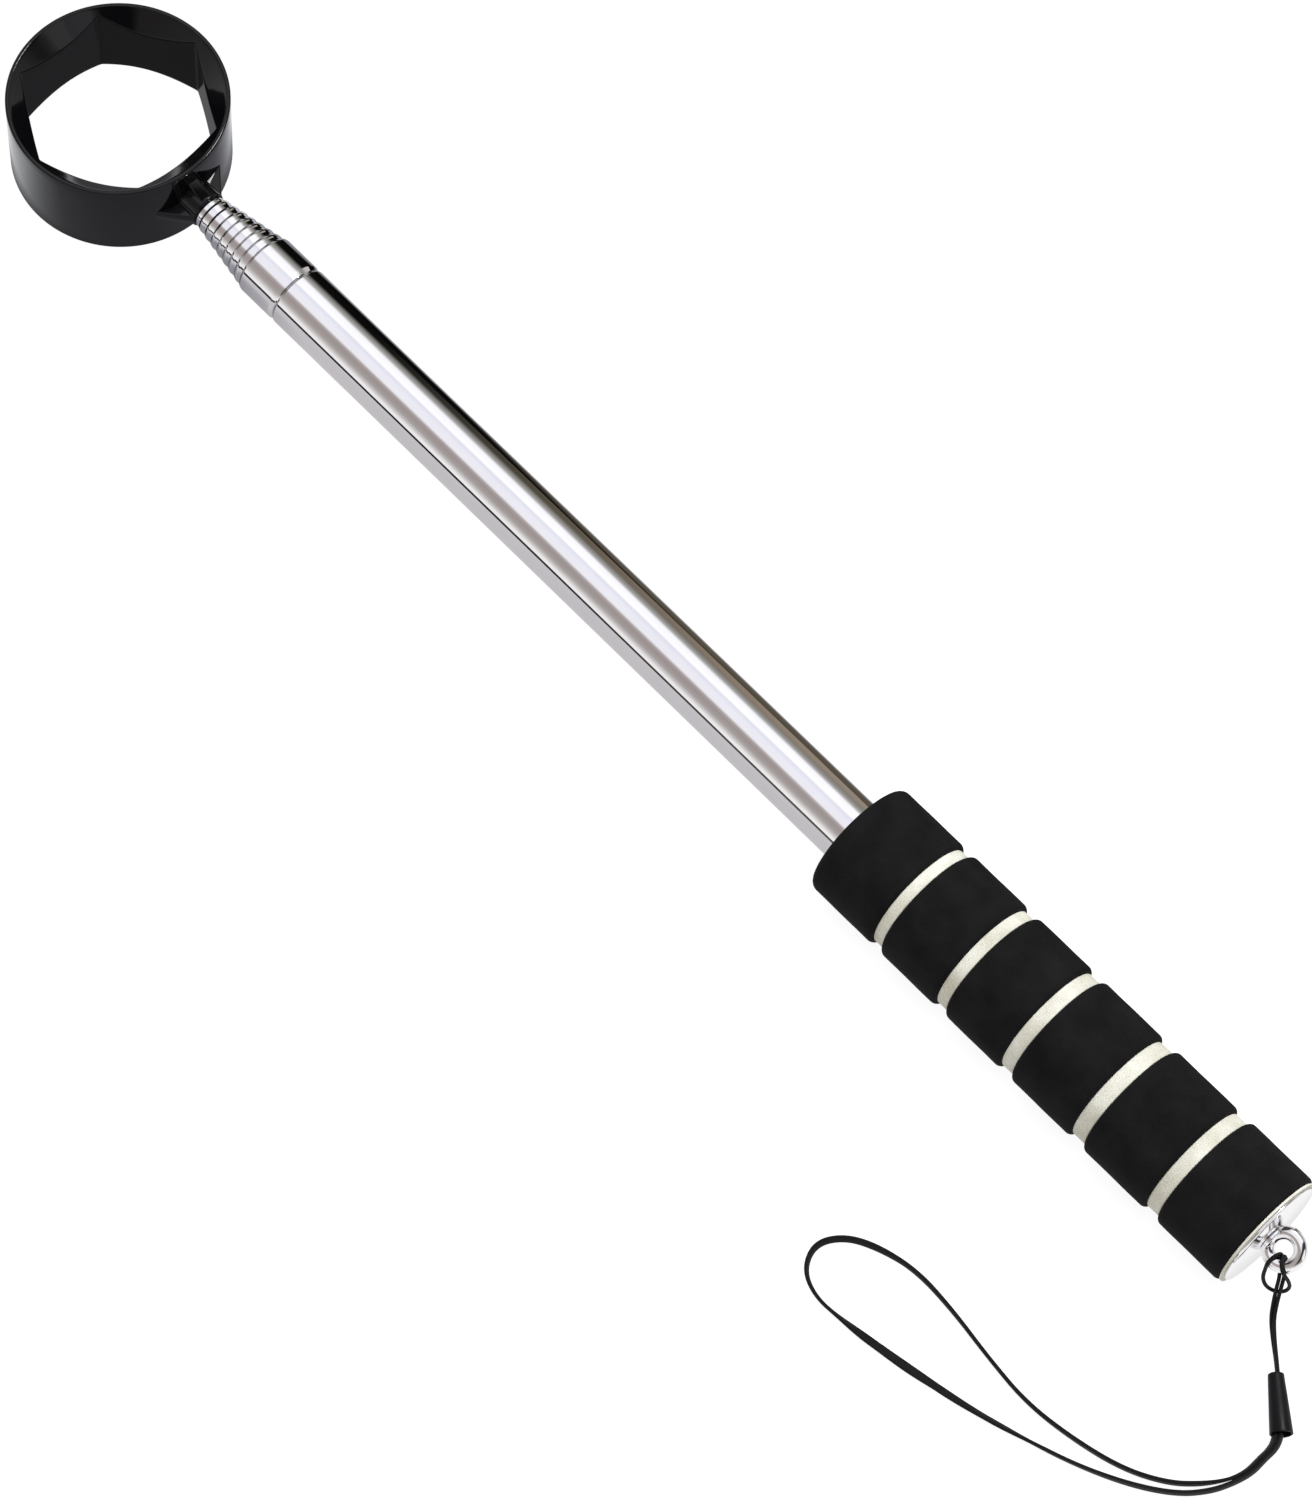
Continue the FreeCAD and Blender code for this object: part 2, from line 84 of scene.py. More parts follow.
class Nodes:
    """Short ways to add nodes to a tree and to feed them."""

    def __init__(self, tree):
        self.tree = tree

    def node(self, kind, **settings):
        made = self.tree.nodes.new(kind)
        for key, value in settings.items():
            setattr(made, key, value)
        return made

    def plug(self, socket, value):
        """Links a socket to the value, or sets it."""
        if isinstance(value, bpy.types.NodeSocket):
            self.tree.links.new(value, socket)
        else:
            socket.default_value = value

    def feed(self, node, **inputs):
        for key, value in inputs.items():
            self.plug(node.inputs[key.replace("_", " ")], value)
        return node

    def in_order(self, node, *values):
        for socket, value in zip(node.inputs, values):
            self.plug(socket, value)
        return node

    def parts(self, vector):
        node = self.feed(self.node("ShaderNodeSeparateXYZ"), Vector=vector)
        return node.outputs["X"], node.outputs["Y"], node.outputs["Z"]

    def math(self, operation, a, b=0.0):
        return self.in_order(self.node("ShaderNodeMath", operation=operation), a, b).outputs[0]

    def vectors(self, operation, *values):
        return self.in_order(self.node("ShaderNodeVectorMath", operation=operation), *values).outputs

    def between(self, fac, low, high, fac_low=0.0, fac_high=1.0):
        node = self.node("ShaderNodeMapRange")
        self.feed(node, Value=fac, From_Min=fac_low, From_Max=fac_high, To_Min=low, To_Max=high)
        return node.outputs["Result"]

    def ramp(self, fac, *stops):
        node = self.feed(self.node("ShaderNodeValToRGB"), Fac=fac)
        fill(node, stops)
        return node.outputs["Color"]

    def mix(self, factor, a, b, blend="MIX"):
        """Colour a, taken towards colour b by the factor."""
        node = self.node("ShaderNodeMix", data_type="RGBA", blend_type=blend)
        return self.feed(node, Factor=factor, A=a, B=b).outputs["Result"]

    def choose(self, factor, off, on):
        """The shader off, or on where the factor is 1."""
        return self.in_order(self.node("ShaderNodeMixShader"), factor, off, on).outputs[0]


class Shader(Nodes):
    """A Principled material with its noises and bumps."""

    def __init__(self, name, **values):
        self.material = bpy.data.materials.new(name)
        self.material.use_nodes = True
        super().__init__(self.material.node_tree)
        self.out = self.tree.nodes["Principled BSDF"]
        self.set(**values)
        where = self.node("ShaderNodeTexCoord").outputs
        self.place, self.uv, self.normal = where["Object"], where["UV"], where["Normal"]

    def set(self, **inputs):
        self.feed(self.out, **inputs)

    def stretched(self, scale):
        return self.feed(self.node("ShaderNodeMapping"), Vector=self.place, Scale=scale).outputs["Vector"]

    def noise(self, scale, detail=2.0, rough=0.5, vector=None):
        node = self.node("ShaderNodeTexNoise")
        self.feed(node, Vector=vector or self.place, Scale=scale, Detail=detail, Roughness=rough)
        return node.outputs["Fac"]

    def cells(self, scale):
        node = self.node("ShaderNodeTexVoronoi", feature="F1")
        return self.feed(node, Vector=self.place, Scale=scale).outputs["Distance"]

    def bump(self, *layers):
        """Layers are (height, strength, distance), the coarsest first."""
        normal = None
        for height, strength, distance in layers:
            node = self.node("ShaderNodeBump")
            self.feed(node, Height=height, Strength=strength, Distance=distance)
            if normal is not None:
                self.feed(node, Normal=normal)
            normal = node.outputs["Normal"]
        self.set(Normal=normal)


def chrome(name, tone, roughness, cut=1.0):
    """Plated steel: fine draw lines along X and a faint unevenness of the polish.

    Faces that look along +X, the tubes' front ends and lips, get a painted shade: their colour is multiplied
    by the factor cut, standing for the dark gaps between the sections.
    """
    shader = Shader(name, Metallic=1.0)
    lines = shader.noise(1.0, 3.0, 0.6, shader.stretched((30.0, 5200.0, 5200.0)))
    haze = shader.noise(120.0, 3.0)
    painted_shade_facing = shader.parts(shader.normal)[0]
    polish = shader.ramp(haze, (0.3, [t * 0.97 for t in tone]), (0.7, tone))
    # Painted shade: faces looking along +X, the front ends and lips of the sections, are darkened by the
    # factor cut to stand for the dark gaps between them.
    ends = shader.ramp(painted_shade_facing, (0.2, (1, 1, 1)), (0.45, (cut, cut, cut)))
    uneven = shader.math("MULTIPLY", lines, haze)
    shader.set(
        Base_Color=shader.mix(1.0, polish, ends, "MULTIPLY"),
        Roughness=shader.between(uneven, roughness * 0.7, roughness * 1.6, 0.1, 0.45),
    )
    shader.bump((shader.noise(46.0, 1.0), 0.05, 0.0004), (lines, 0.02, 0.00002))
    return shader.material


def foam(name, dark, light, grain=0.35):
    """Closed-cell foam: skin of fine cells with lighter and darker specks."""
    shader = Shader(name, Specular_IOR_Level=0.16)
    cell = shader.cells(3400.0)
    fine = shader.noise(5200.0, 3.0, 0.65)
    patch = shader.noise(140.0, 2.0)
    speck = shader.math("ADD", shader.math("MULTIPLY", fine, 0.6), shader.math("MULTIPLY", patch, 0.4))
    shader.set(
        Base_Color=shader.ramp(speck, (0.36, dark), (0.62, light)),
        Roughness=shader.between(fine, 0.78, 0.95, 0.3, 0.7),
    )
    shader.bump((patch, 0.25, 0.0002), (cell, grain, 0.00012), (fine, grain, 0.00006))
    return shader.material


def plastic(name, tone, roughness, wave=0.04, specular=0.35):
    """Moulded plastic: slight flow waviness, faint dust-fine roughness change."""
    shader = Shader(name, Specular_IOR_Level=specular)
    flow = shader.noise(90.0, 2.0)
    fine = shader.noise(1500.0, 3.0)
    shader.set(
        Base_Color=shader.ramp(fine, (0.3, [t * 0.9 for t in tone]), (0.7, [t * 1.1 for t in tone])),
        Roughness=shader.between(flow, roughness * 0.8, roughness * 1.3, 0.35, 0.65),
    )
    shader.bump((flow, wave, 0.0006), (fine, wave, 0.00002))
    return shader.material


def woven(name, tone, along, across):
    """Yarns in a plait, from the piece's UVs, which are in millimetres along and across."""
    shader = Shader(name, Roughness=0.62, Specular_IOR_Level=0.25)
    length, girth, _ = shader.parts(shader.uv)
    u = shader.math("MULTIPLY", length, 2 * math.pi / along)
    v = shader.math("MULTIPLY", girth, 2 * math.pi / across)
    one = shader.math("SINE", shader.math("ADD", u, v))
    two = shader.math("SINE", shader.math("SUBTRACT", u, v))
    plait = shader.math("MAXIMUM", one, two)
    fuzz = shader.noise(9000.0, 3.0, 0.7)
    yarn = shader.math("ADD", shader.math("MULTIPLY", plait, 0.35), shader.math("MULTIPLY", fuzz, 0.4))
    shader.set(Base_Color=shader.ramp(
        yarn, (0.1, [t * 0.5 for t in tone]), (0.55, tone), (0.8, [t * 2.2 for t in tone])))
    shader.bump((plait, 0.55, 0.00008), (fuzz, 0.3, 0.00003))
    return shader.material


# The last number is the painted shade on the tubes' front ends and lips, the dark gaps between the sections.
CHROME = chrome("chrome_tube", (0.86, 0.855, 0.875), 0.045, 0.05)
BRIGHT = chrome("chrome_fitting", (0.9, 0.895, 0.9), 0.06)
ZINC = chrome("zinc_plate", (0.56, 0.57, 0.57), 0.28)
BLACK_FOAM = foam("black_foam", (0.0026, 0.0026, 0.0028), (0.0105, 0.0101, 0.0106))
CREAM_FOAM = foam("cream_foam", (0.60, 0.58, 0.46), (0.96, 0.965, 0.87), 0.4)
RING_PLASTIC = plastic("black_plastic", (0.0030, 0.0030, 0.0036), 0.07, 0.08, 0.3)
CRIMP_PLASTIC = plastic("crimp_plastic", (0.0040, 0.0040, 0.0055), 0.4, 0.01, 0.16)
NYLON = plastic("bush_plastic", (0.72, 0.70, 0.63), 0.42)
PLUG = plastic("plug_plastic", (0.06, 0.06, 0.065), 0.5)
CORD = woven("black_cord", (0.0045, 0.0045, 0.005), 0.55, 0.9)
LACE = woven("black_lace", (0.0045, 0.0045, 0.0052), 0.42, 0.5)
INNER_MATERIALS = {"tip_plug": ZINC, "head_stud": ZINC, "butt_plug": PLUG}


# ---------------------------------------------------------------- mesh helpers

def softened(corners, steps=6):
    """Closed run of points through (x, r, rounding) corners, each rounded by its own radius."""
    nearly_straight = math.radians(89.5)
    count = len(corners)
    points = []
    for i, (x, r, rounding) in enumerate(corners):
        here = Vector((x, r))
        back = Vector(corners[i - 1][:2]) - here
        ahead = Vector(corners[(i + 1) % count][:2]) - here
        if rounding <= 0 or back.length < 1e-9 or ahead.length < 1e-9:
            points.append(here)
            continue
        half = back.angle(ahead) / 2
        if half > nearly_straight:
            points.append(here)
            continue
        cut = min(rounding / math.tan(half), 0.49 * back.length, 0.49 * ahead.length)
        rounding = cut * math.tan(half)
        middle = here + (back.normalized() + ahead.normalized()).normalized() * (rounding / math.sin(half))
        start = here + back.normalized() * cut - middle
        end = here + ahead.normalized() * cut - middle
        for k in range(steps + 1):
            points.append(middle + start.slerp(end, k / steps) * rounding)
    return points


def split_long(points, longest):
    """Closed run of points with the long runs cut up."""
    out = []
    for i, point in enumerate(points):
        after = points[(i + 1) % len(points)]
        pieces = max(1, math.ceil((after - point).length / longest))
        out += [point.lerp(after, k / pieces) for k in range(pieces)]
    return out


def new_piece(name, vertices, faces, material, sharp=28.0):
    mesh = bpy.data.meshes.new(name)
    mesh.from_pydata([tuple(v) for v in vertices], [], faces)
    mesh.update()
    mesh.polygons.foreach_set("use_smooth", [True] * len(mesh.polygons))
    mesh.set_sharp_from_angle(angle=math.radians(sharp))
    mesh.materials.append(material)
    piece = bpy.data.objects.new(name, mesh)
    bpy.context.scene.collection.objects.link(piece)
    return piece


def grid_faces(rows, columns, close_rows=True):
    """Faces over rows of points that close on themselves."""
    faces = []
    for i in range(rows if close_rows else rows - 1):
        this, after = i * columns, (i + 1) % rows * columns
        for j in range(columns):
            k = (j + 1) % columns
            faces.append((this + j, this + k, after + k, after + j))
    return faces


def turned_mesh(profile, around=AROUND, wobble=None):
    """Vertices and faces of a closed run of points (x, r) turned about X."""
    vertices = []
    for x, r in profile:
        for j in range(around):
            angle = 2 * math.pi * j / around
            radius = r + (wobble(x, r, angle) if wobble else 0.0)
            vertices.append(Vector((x, radius * math.cos(angle), radius * math.sin(angle))))
    return vertices, grid_faces(len(profile), around)


def on_axis(vertices):
    """Millimetres about the tubes' axis as metres over the floor."""
    return [Vector((v.x, v.y, v.z + AXIS_HEIGHT)) * MM for v in vertices]


def stands_for(piece, node, body):
    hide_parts(node)
    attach(piece, body)
    return piece


def turned(node, body, corners, material, longest=3.0, wobble=None, sharp=28.0):
    """A turned piece on the tubes' axis that stands for the CAD node."""
    vertices, faces = turned_mesh(split_long(softened(corners), longest), wobble=wobble)
    piece = new_piece(f"{node}_piece", on_axis(vertices), faces, material, sharp)
    return stands_for(piece, node, body)


def extent(node):
    """Lowest x, highest x and outer radius of a turned node."""
    low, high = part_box(node)
    return low[0] / MM, high[0] / MM, (high[1] - low[1]) / 2 / MM


# ---------------------------------------------------------------- foam grip

def foam_wobble(seed):
    """Foam is cut and pulled over the tube, so it isn't quite round or straight."""
    bore = 9.0                      # what is nearer the axis stays round

    def wobble(x, r, angle):
        if r < bore:
            return 0.0
        swell = 0.035 * math.sin(2 * angle + seed) + 0.02 * math.sin(5 * angle + 1.7 * seed)
        return swell + 0.02 * math.sin(x * 0.55 + seed)
    return wobble


def grip():
    """Six black foam rings, with cream foam between them and a cream disc under the cap."""
    rings = 6
    for number in range(1, rings + 1):
        x0, x1, r = extent(f"grip_ring_{number}")
        r -= 0.04
        front = 1.9 if number == 1 else 1.25
        rear = 1.2 if number == rings else 1.25
        corners = [(x0, FOAM_BORE, 0.1), (x1, FOAM_BORE, 0.1), (x1, r, front), (x0, r, rear)]
        piece = turned(f"grip_ring_{number}", "handle", corners, BLACK_FOAM, 1.4,
                       foam_wobble(number * 1.3), 60)
    for number in range(1, rings + 1):
        between = number < rings
        node = f"grip_spacer_{number}" if between else "grip_end_disc"
        x0, x1, r = extent(node)
        r -= 0.62 if between else 0.0
        edge = 0.25 if between else 0.2
        corners = [(x0, FOAM_BORE, 0.05), (x1, FOAM_BORE, 0.05), (x1, r, edge), (x0, r, edge)]
        piece = turned(node, "handle", corners, CREAM_FOAM, 0.8,
                       foam_wobble(number * 2.1 + 4), 60)


# ---------------------------------------------------------------- tubes

def tube(node, body, corners, longest=8.0):
    turned(node, body, corners, CHROME, longest)


def tubes():
    x0, x1, r = extent("handle_tube")
    inner = r - TUBE_WALL
    tube("handle_tube", "handle", [
        (x0, inner, 0.1), (x1, inner, 0.05), (x1, r - 0.16, 0.05), (x1 - 0.5, r, 0.3), (x0, r, 0.1)])

    x0, x1, _ = extent("nose_collar")
    inner, inside_tube, outer = 7.52, 7.69, 7.97
    lip = x0 + 8.0                  # the part behind it is in the handle tube
    tube("nose_collar", "handle", [
        (x0, inner, 0.05), (x1, inner, 0.1), (x1, 7.76, 0.08), (x1 - 0.62, outer, 0.4),
        (lip + 1.55, outer, 0.25), (lip + 0.5, 7.55, 0.15), (lip + 0.1, 7.6, 0.05),
        (x0, inside_tube, 0.05)], 2.0)

    for number in range(2, 10):
        node = f"section_{number}"
        x0, x1, r = extent(node)
        inner, bead = r - SECTION_WALL, r + 0.06
        tube(node, f"{node}_body" if number < 9 else "head_body", [
            (x0, inner, 0.05), (x1, inner, 0.04), (x1, r - 0.14, 0.06), (x1 - 0.62, bead, 0.4),
            (x1 - 1.0, bead, 0.3), (x1 - 1.4, r, 0.4), (x0, r, 0.1)])


# ---------------------------------------------------------------- ball ring

def hexagon_radius(angle, rounding=0.9):
    """Radius to the six flats, whose corners are at 30, 90, ... degrees."""
    half_flat = math.pi / 6
    turn = (angle + half_flat) % (2 * half_flat) - half_flat        # from the nearest flat's middle
    centre = (RING_FLAT - rounding) / math.cos(half_flat)           # of the corner's rounding
    tangent = math.atan2(centre * math.sin(half_flat), RING_FLAT)
    if abs(turn) <= tangent:
        return RING_FLAT / math.cos(turn)
    from_corner = half_flat - abs(turn)
    offset = centre * math.sin(from_corner)
    return centre * math.cos(from_corner) + math.sqrt(rounding ** 2 - offset ** 2)


def ring_angles():
    """Close together at the six corners, wider on the flats."""
    shares = [
        0.0, 0.06, 0.14, 0.24, 0.34, 0.44, 0.54, 0.64, 0.73, 0.8, 0.86, 0.9, 0.925, 0.945, 0.962, 0.978, 0.99]
    half = [share * math.pi / 6 for share in shares]
    angles = []
    for flat in range(6):
        middle = flat * math.pi / 3
        angles += [middle - h for h in reversed(half[1:])]
        angles += [middle + h for h in half] + [middle + math.pi / 6]
    return angles


def ring_section(angle):
    """Closed run of (r, z) at an angle: flat, 45 degree lead-in, lip and outer wall, above and below."""
    top = RING_HEIGHT / 2
    flat = hexagon_radius(angle)
    crease = top - (RING_MOUTH - flat)              # height where the lead-in meets the flat
    crease_blend = 0.16
    levels = [0.0, 0.25 * crease, 0.5 * crease, 0.75 * crease]
    levels += [crease + d for d in (-0.9, -0.5, -0.28, -0.14, -0.05, 0.05, 0.14, 0.28, 0.5, 0.75)]
    upper = []
    for z in levels:
        cone = RING_MOUTH - (top - z)
        upper.append((0.5 * (flat + cone + math.hypot(flat - cone, crease_blend)), z))
    upper += [tuple(p) for p in softened([
        (RING_MOUTH - 0.65, top - 0.65, 0), (RING_MOUTH, top, 0.4), (RING_OUTSIDE, top, 0.42),
        (RING_OUTSIDE, top - 3, 0)], 5)]
    upper += [(RING_OUTSIDE, 0.6 * top), (RING_OUTSIDE, 0.3 * top)]
    lower = [(r, -z) for r, z in reversed(upper[1:])]
    return upper + [(RING_OUTSIDE, 0.0)] + lower


def rib(tip, wall, upright):
    """Rounded web from the boss to the ring's wall. Tip and wall are (x, reach) on its two ends."""
    half_thick = 1.4
    root = (RING_X - RING_OUTSIDE + 4.3, wall[1] + (1.2 if upright else 0.4))       # inside the ring's wall
    outline = [tip, wall, root]
    outline += [(x, -reach) for x, reach in reversed(outline)]
    count = len(outline)
    shape = bmesh.new()
    for side in (-half_thick, half_thick):
        for x, reach in outline:
            shape.verts.new((x, side, reach) if upright else (x, reach, side))
    shape.verts.ensure_lookup_table()
    shape.faces.new([shape.verts[i] for i in range(count)])
    shape.faces.new([shape.verts[i + count] for i in reversed(range(count))])
    for i in range(count):
        j = (i + 1) % count
        shape.faces.new([shape.verts[k] for k in (j, i, i + count, j + count)])
    bmesh.ops.recalc_face_normals(shape, faces=shape.faces)
    bmesh.ops.bevel(shape, geom=shape.edges[:], offset=0.38, segments=4, profile=0.5, affect="EDGES")
    return shape


def neck():
    """Boss and ribs between the ring's wall and the tube, as vertices and faces."""
    wall_x = RING_X - RING_OUTSIDE
    face_x = wall_x - NECK_LENGTH
    back_x, boss_radius = face_x + 8.5, 4.8         # the boss ends inside the ring's wall
    boss = softened([
        (face_x, 0.02, 0), (back_x, 0.02, 0), (back_x, boss_radius, 0), (face_x, boss_radius, 0.45)], 5)
    vertices, faces = turned_mesh(boss, 96)
    tip = (face_x + 0.35, 4.55)
    for wall, upright in (((wall_x + 2.2, 10.3), False), ((wall_x + 0.2, 7.0), True)):
        shape = rib(tip, wall, upright)
        shape.verts.index_update()
        base = len(vertices)
        vertices += [v.co.copy() for v in shape.verts]
        faces += [tuple(base + v.index for v in face.verts) for face in shape.faces]
        shape.free()
    return vertices, faces


def ball_ring():
    columns = []
    for angle in ring_angles():
        c, s = math.cos(angle), math.sin(angle)
        columns.append([(r * c + RING_X, r * s, z) for r, z in ring_section(angle)])
    vertices = [Vector(column[i]) for i in range(len(columns[0])) for column in columns]
    faces = grid_faces(len(columns[0]), len(columns))
    base = len(vertices)
    neck_vertices, neck_faces = neck()
    vertices += neck_vertices
    faces += [tuple(base + k for k in face) for face in neck_faces]
    piece = new_piece("head_ring_piece", on_axis(vertices), faces, RING_PLASTIC, 40)
    stands_for(piece, "head_ring", "head_body")


# ---------------------------------------------------------------- butt cap and eye

def butt_cap():
    x0, x1, r = extent("butt_cap")
    hole = 2.02
    corners = [
        (x0, hole, 0.05), (x0 + 0.02, 4.3, 0.6), (x1 - 0.75, r - 1.0, 0.8), (x1 - 0.55, r, 0.28),
        (x1, r, 0.15), (x1, hole, 0.05),
    ]
    turned("butt_cap", "handle", corners, BRIGHT, 0.9, sharp=40)


def screw_eye():
    """Threaded shank with a shoulder on the cap's face, and a ring of wire at its end."""
    face_x = extent("butt_cap")[0]
    low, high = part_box("screw_eye")
    end = high[0] / MM
    root, crest, pitch = 1.55, 1.98, 0.7
    shank = [(face_x - 1.0, 0.02, 0), (end, 0.02, 0), (end, 1.4, 0.2)]
    x = end - 0.3
    while x > face_x + 1.2:
        shank += [(x, crest, 0.05), (x - pitch / 2, root, 0.05)]
        x -= pitch
    shank += [
        (face_x + 0.2, crest, 0.1), (face_x - 0.02, crest, 0), (face_x - 0.02, 3.6, 0.3),
        (face_x - 1.0, 3.6, 0.42), (face_x - 1.25, 2.2, 0.5),
    ]
    vertices, faces = turned_mesh(softened(shank, 4), 96)

    around, across = 120, 36
    wire, bend = 1.7, 3.75                          # radius of the wire and of its middle line
    roll = math.radians(38)                         # of the ring's plane, about the rod
    centre = Vector((low[0] / MM + bend + wire, 0, 0))
    wide = Vector((0, math.cos(roll), -math.sin(roll)))
    normal = Vector((0, math.sin(roll), math.cos(roll)))
    base = len(vertices)
    for i in range(around):
        a = 2 * math.pi * i / around
        out = Vector((-math.cos(a), 0, 0)) + wide * math.sin(a)
        for j in range(across):
            b = 2 * math.pi * j / across
            vertices.append(centre + out * (bend + wire * math.cos(b)) + normal * (wire * math.sin(b)))
    faces += [tuple(base + k for k in face) for face in grid_faces(around, across)]
    piece = new_piece("screw_eye_piece", on_axis(vertices), faces, BRIGHT, 50)
    stands_for(piece, "screw_eye", "handle")


# ---------------------------------------------------------------- wrist strap

HITCH_ROUTE = [
    (-0.22015, 0.01698, 0.00209), (-0.21777, 0.01485, 0.00192), (-0.21445, 0.01195, 0.00176),
    (-0.21099, 0.0087, 0.00222), (-0.20932, 0.00655, 0.00473), (-0.20809, 0.00484, 0.00815),
    (-0.207, 0.00312, 0.0102), (-0.20584, 0.00165, 0.01111), (-0.20484, 0.0005, 0.012),
    (-0.20414, 0.00046, 0.01362), (-0.20414, 0.00155, 0.01501), (-0.205, 0.00304, 0.01542),
    (-0.20634, 0.00398, 0.0147), (-0.20738, 0.00379, 0.01326), (-0.20852, 0.00324, 0.011),
    (-0.20915, 0.003, 0.0082), (-0.20873, 0.00371, 0.0062), (-0.20743, 0.00457, 0.005),
    (-0.20588, 0.00534, 0.0051), (-0.20466, 0.00607, 0.0069), (-0.20344, 0.00604, 0.0094),
    (-0.2029, 0.00504, 0.01228), (-0.2027, 0.0048, 0.01405), (-0.20274, 0.00339, 0.01515),
    (-0.20304, 0.00167, 0.01492), (-0.2033, 0.00061, 0.0135), (-0.20378, 0.00081, 0.01176),
    (-0.20471, 0.00207, 0.01078), (-0.20617, 0.00365, 0.0102), (-0.20722, 0.00527, 0.00805),
    (-0.20852, 0.00682, 0.00447), (-0.21041, 0.00896, 0.00158), (-0.21429, 0.01212, 0.00084),
    (-0.21781, 0.01488, 0.00094), (-0.22019, 0.01701, 0.00111),
]
LACE_ROUTE = [
    (-0.22949, 0.02772, 0.00235), (-0.23038, 0.0291, 0.00243), (-0.23086, 0.03123, 0.00212),
    (-0.23068, 0.03384, 0.00115), (-0.23085, 0.03783, 0.00108), (-0.22957, 0.04222, 0.00105),
    (-0.22615, 0.04737, 0.001), (-0.22088, 0.05269, 0.001), (-0.21194, 0.05759, 0.00105),
    (-0.19994, 0.06066, 0.00108), (-0.1872, 0.06231, 0.00108), (-0.1744, 0.06108, 0.00108),
    (-0.16174, 0.05922, 0.00108), (-0.14959, 0.05849, 0.00105), (-0.14003, 0.06084, 0.00098),
    (-0.13314, 0.06451, 0.00098), (-0.12956, 0.07054, 0.00102), (-0.13234, 0.07675, 0.00108),
    (-0.13875, 0.07931, 0.00108), (-0.14647, 0.07865, 0.00098), (-0.15616, 0.07708, 0.00072),
    (-0.16806, 0.07485, 0.0005), (-0.18059, 0.07216, 0.00072), (-0.19286, 0.06842, 0.00102),
    (-0.20499, 0.06422, 0.00108), (-0.21604, 0.05872, 0.00105), (-0.22431, 0.05272, 0.001),
    (-0.22881, 0.04677, 0.00105), (-0.23095, 0.04151, 0.00108), (-0.23201, 0.03705, 0.0011),
    (-0.23169, 0.03296, 0.00125), (-0.23182, 0.03021, 0.00216), (-0.23126, 0.02811, 0.00243),
    (-0.23037, 0.02674, 0.00235),
]
# Share of the lace's length, and the turn of its flat side away from lying flat, in degrees.
LACE_TURNS = [
    (0, 68), (0.05, 74), (0.09, 94), (0.15, 89), (0.3, 80), (0.4, 90), (0.445, 104), (0.5, 110), (0.55, 109),
    (0.6, 158), (0.635, 175), (0.67, 150), (0.72, 131), (0.78, 100), (0.87, 86), (0.945, 80), (1, 68),
]


def smooth_line(name, route, resolution):
    """Points along the route's spline."""
    curve = bpy.data.curves.new(name, "CURVE")
    curve.dimensions = "3D"
    spline = curve.splines.new("NURBS")
    spline.points.add(len(route) - 1)
    for point, corner in zip(spline.points, route):
        point.co = (*corner, 1.0)
    spline.order_u = 3
    spline.use_endpoint_u = True
    spline.resolution_u = resolution
    holder = bpy.data.objects.new(name, curve)
    bpy.context.scene.collection.objects.link(holder)
    bpy.context.view_layer.update()
    mesh = bpy.data.meshes.new_from_object(holder)
    line = [v.co.copy() for v in mesh.vertices]
    bpy.data.objects.remove(holder)
    bpy.data.meshes.remove(mesh)
    return line


def cross_section(point, wide, thin, count, power):
    """Points round an ellipse, or round a fuller oval where the power is under 1."""
    section = []
    for j in range(count):
        angle = 2 * math.pi * j / count
        c, s = math.cos(angle), math.sin(angle)
        c, s = math.copysign(abs(c) ** power, c), math.copysign(abs(s) ** power, s)
        section.append(point + wide * c + thin * s)
    return section


def add_lengthwise_uvs(piece, lengths, count, girth):
    """UVs in millimetres along and across a swept piece, whose rows have count points each."""
    layer = piece.data.uv_layers.new(name="UVMap")
    for face in piece.data.polygons:
        numbers = [piece.data.loops[k].vertex_index for k in face.loop_indices]
        columns = [number % count for number in numbers]
        wraps = len(face.vertices) == 4 and max(columns) - min(columns) > 1
        for k, number, column in zip(face.loop_indices, numbers, columns):
            column = count if wraps and column == 0 else column
            layer.data[k].uv = (lengths[number // count] / MM, column / count * girth)


def swept(name, line, width, thickness, material, turn=None, count=20, power=1.0):
    """A cord or lace along a line, and its length. A lace's turn(share) is how far it stands on edge."""
    level_up = Vector((0, 0, 1))
    floor_gap, lying = FLOOR_GAP * MM, 1.3 * MM
    lengths = [0.0]
    for a, b in zip(line, line[1:]):
        lengths.append(lengths[-1] + (b - a).length)
    vertices, last = [], len(line) - 1
    side = None
    for i, point in enumerate(line):
        tangent = (line[min(i + 1, last)] - line[max(i - 1, 0)]).normalized()
        if turn or side is None:
            side = level_up.cross(tangent).normalized()
        else:
            side = (side - tangent * side.dot(tangent)).normalized()
        angle = turn(lengths[i] / lengths[-1]) if turn else 0.0
        wide = side * math.cos(angle) + tangent.cross(side) * math.sin(angle)
        thin = tangent.cross(wide)
        section = cross_section(point, wide * width / 2, thin * thickness / 2, count, power)
        lift = floor_gap - min(v.z for v in section)
        if not turn or point.z >= lying:
            lift = max(0.0, lift)
        vertices += [v + level_up * lift for v in section]
    faces = grid_faces(len(line), count, close_rows=False)
    faces.append(tuple(reversed(range(count))))
    faces.append(tuple(range(last * count, (last + 1) * count)))
    piece = new_piece(name, vertices, faces, material, 60)
    add_lengthwise_uvs(piece, lengths, count, 2.2 * (width + thickness) / 2 / MM)
    return piece, lengths[-1]


def lace_turn(share):
    for (s0, a0), (s1, a1) in zip(LACE_TURNS, LACE_TURNS[1:]):
        if share <= s1:
            t = (share - s0) / (s1 - s0)
            t = t * t * (3 - 2 * t)
            return math.radians(a0 + (a1 - a0) * t)
    return math.radians(LACE_TURNS[-1][1])


